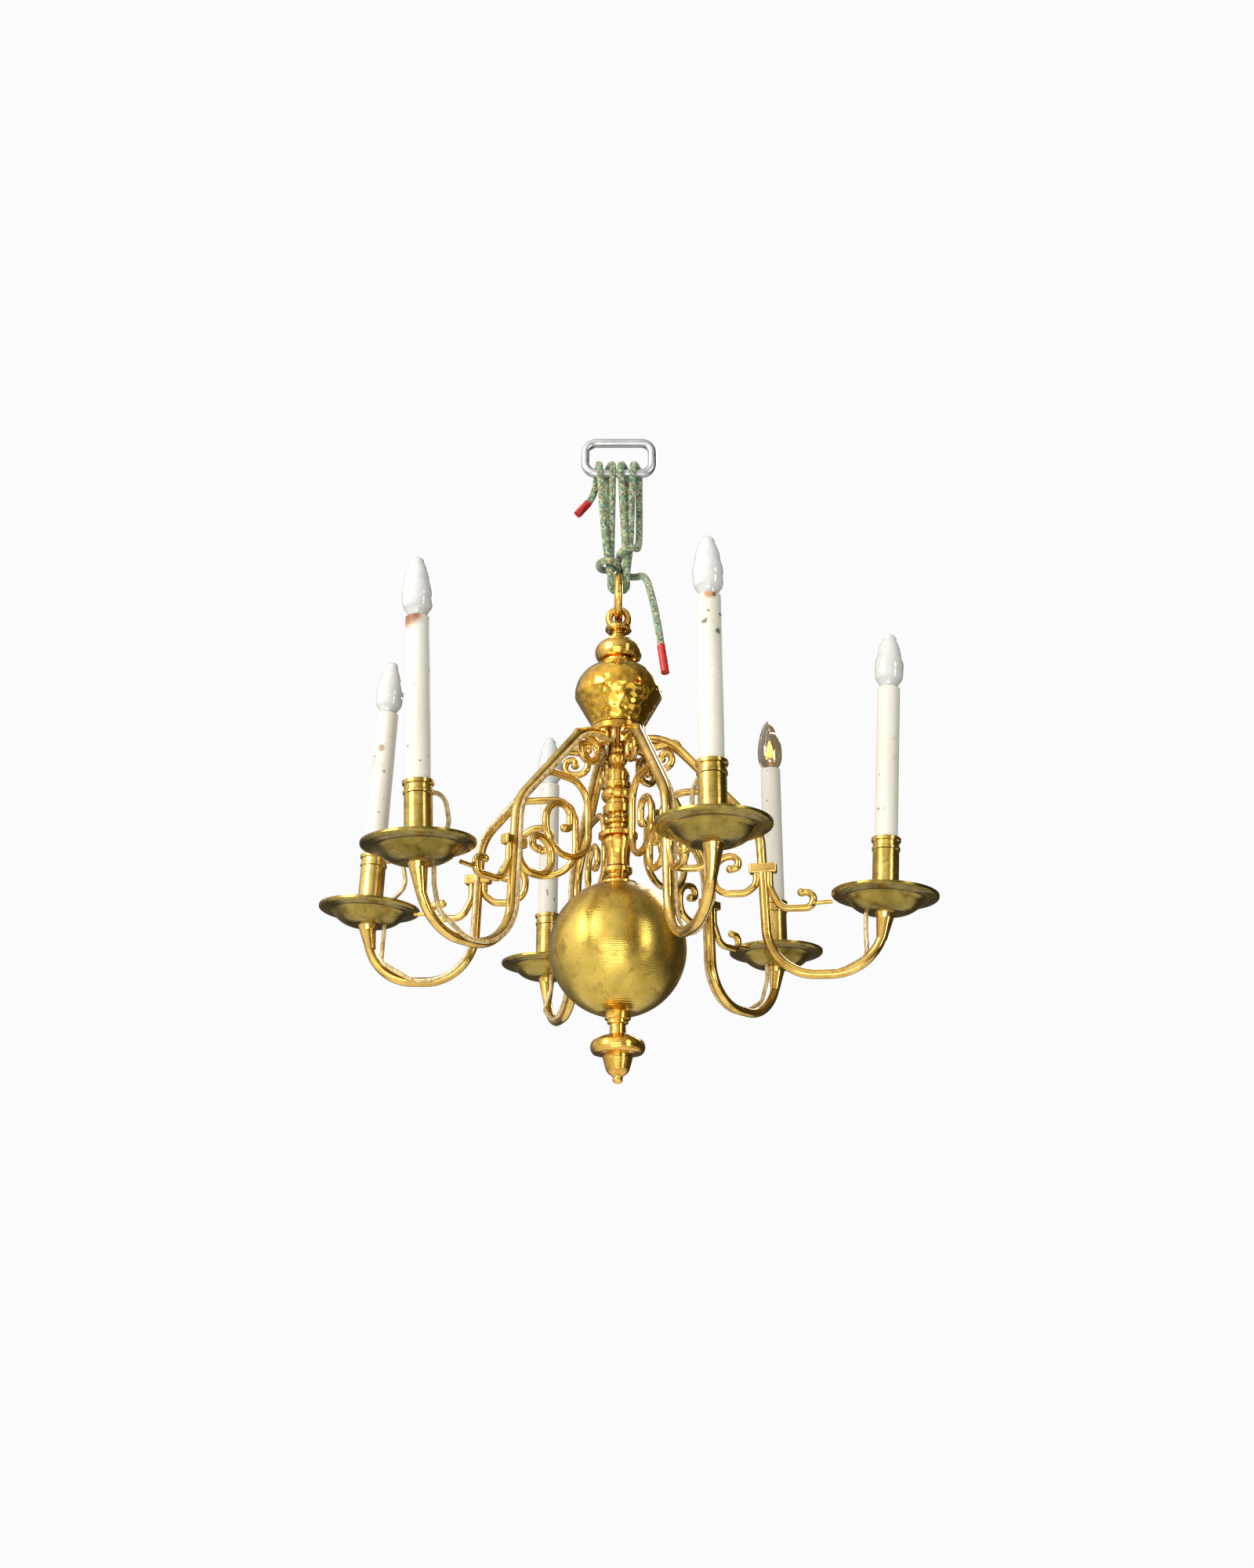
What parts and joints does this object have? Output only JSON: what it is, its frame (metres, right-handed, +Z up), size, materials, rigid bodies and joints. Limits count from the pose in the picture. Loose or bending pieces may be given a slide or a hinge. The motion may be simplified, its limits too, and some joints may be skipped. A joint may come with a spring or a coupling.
{
  "type": "multi arm chandelier",
  "caption": "Brass chandelier with scrolled candle arms around a turned stem and hollow ball, hung by a ring from a looped rope.",
  "frame": {"origin": "underside of the top bar of the hanging link, where a ceiling hook carries the chandelier, on the stem axis", "axes": "+Z up along the stem, +X along arm 1; the other arms follow counter-clockwise"},
  "size_m": [0.7856, 0.6984, 0.891],
  "materials": {
    "arm_brass": "aged, lightly tarnished in the crevices",
    "pan_brass": "satin spun, tarnished",
    "cup_brass": "satin turned",
    "stem_brass": "polished turned, aged",
    "ball_brass": "satin spun with fine turning lines",
    "hammered_brass": "mottled, aged",
    "ring_brass": "worn",
    "steel": "zinc plated",
    "nut_steel": "plated",
    "nipple_steel": "plated",
    "sleeve": "ivory, slightly stained",
    "holder_plastic": "moulded",
    "block_plastic": "moulded",
    "opal_glass": "opal",
    "clear_glass": "clear, lit",
    "clear_flex": "translucent, yellowed",
    "rope": "braided, mottled",
    "red_shrink": "satin shrink tube"
  },
  "bodies": {
    "hanger": {"hanging_link": "steel", "rope": "rope", "rope_end_caps": "red_shrink"},
    "ring": {"suspension_ring": "ring_brass"},
    "chandelier": {"arm_1": "arm_brass", "flex_1": "clear_flex", "drip_pan_1": "pan_brass", "candle_cup_1": "cup_brass", "candle_sleeve_1": "sleeve", "arm_2": "arm_brass", "flex_2": "clear_flex", "drip_pan_2": "pan_brass", "candle_cup_2": "cup_brass", "candle_sleeve_2": "sleeve", "arm_3": "arm_brass", "flex_3": "clear_flex", "drip_pan_3": "pan_brass", "candle_cup_3": "cup_brass", "candle_sleeve_3": "sleeve", "arm_4": "arm_brass", "flex_4": "clear_flex", "drip_pan_4": "pan_brass", "candle_cup_4": "cup_brass", "candle_sleeve_4": "sleeve", "arm_5": "arm_brass", "flex_5": "clear_flex", "drip_pan_5": "pan_brass", "candle_cup_5": "cup_brass", "candle_sleeve_5": "sleeve", "arm_6": "arm_brass", "flex_6": "clear_flex", "drip_pan_6": "pan_brass", "candle_cup_6": "cup_brass", "candle_sleeve_6": "sleeve", "eye_knob": "stem_brass", "upper_bead": "stem_brass", "vase_body": "hammered_brass", "hub_plate": "stem_brass", "stem_knop": "stem_brass", "stem_spool": "stem_brass", "stem_flange": "stem_brass", "stem_bell": "stem_brass", "stem_collar": "stem_brass", "ball_upper": "ball_brass", "ball_lower": "ball_brass", "ball_foot": "stem_brass", "finial_knob": "stem_brass", "finial_cap": "stem_brass", "tie_rod": "steel", "terminal_block": "block_plastic", "arm_nuts": "nut_steel", "rod_nut": "nut_steel", "lampholders": "holder_plastic", "candle_nipples": "nipple_steel"},
    "bulb_1": {"bulb_1": "opal_glass"},
    "bulb_2": {"bulb_2": "clear_glass"},
    "bulb_3": {"bulb_3": "opal_glass"},
    "bulb_4": {"bulb_4": "opal_glass"},
    "bulb_5": {"bulb_5": "opal_glass"},
    "bulb_6": {"bulb_6": "opal_glass"}
  },
  "joints": [
    {"name": "ring_swing", "type": "hinge", "parent": "hanger", "child": "ring", "pos_m": [0, 0, -0.232], "axis": [0.9792, 0.2028, 0], "range_deg": [-10, 10]},
    {"name": "body_sway", "type": "hinge", "parent": "ring", "child": "chandelier", "pos_m": [0, 0, -0.261], "axis": [-0.2028, 0.9792, 0], "range_deg": [-5, 5]},
    {"name": "bulb_1_turn", "type": "hinge", "parent": "chandelier", "child": "bulb_1", "pos_m": [0.34781, 0, -0.40269], "axis": [0.0698, 0, 0.9976], "range_deg": [0, 1080]},
    {"name": "bulb_2_turn", "type": "hinge", "parent": "chandelier", "child": "bulb_2", "pos_m": [0.164, 0.28406, -0.394], "axis": [0, 0, 1], "range_deg": [0, 1080]},
    {"name": "bulb_3_turn", "type": "hinge", "parent": "chandelier", "child": "bulb_3", "pos_m": [-0.164, 0.28406, -0.394], "axis": [0, 0, 1], "range_deg": [0, 1080]},
    {"name": "bulb_4_turn", "type": "hinge", "parent": "chandelier", "child": "bulb_4", "pos_m": [-0.3166, 0, -0.38223], "axis": [0.0401, 0, 0.9992], "range_deg": [0, 1080]},
    {"name": "bulb_5_turn", "type": "hinge", "parent": "chandelier", "child": "bulb_5", "pos_m": [-0.17292, -0.2995, -0.39456], "axis": [-0.0314, -0.0544, 0.998], "range_deg": [0, 1080]},
    {"name": "bulb_6_turn", "type": "hinge", "parent": "chandelier", "child": "bulb_6", "pos_m": [0.164, -0.28406, -0.394], "axis": [0, 0, 1], "range_deg": [0, 1080]}
  ]
}
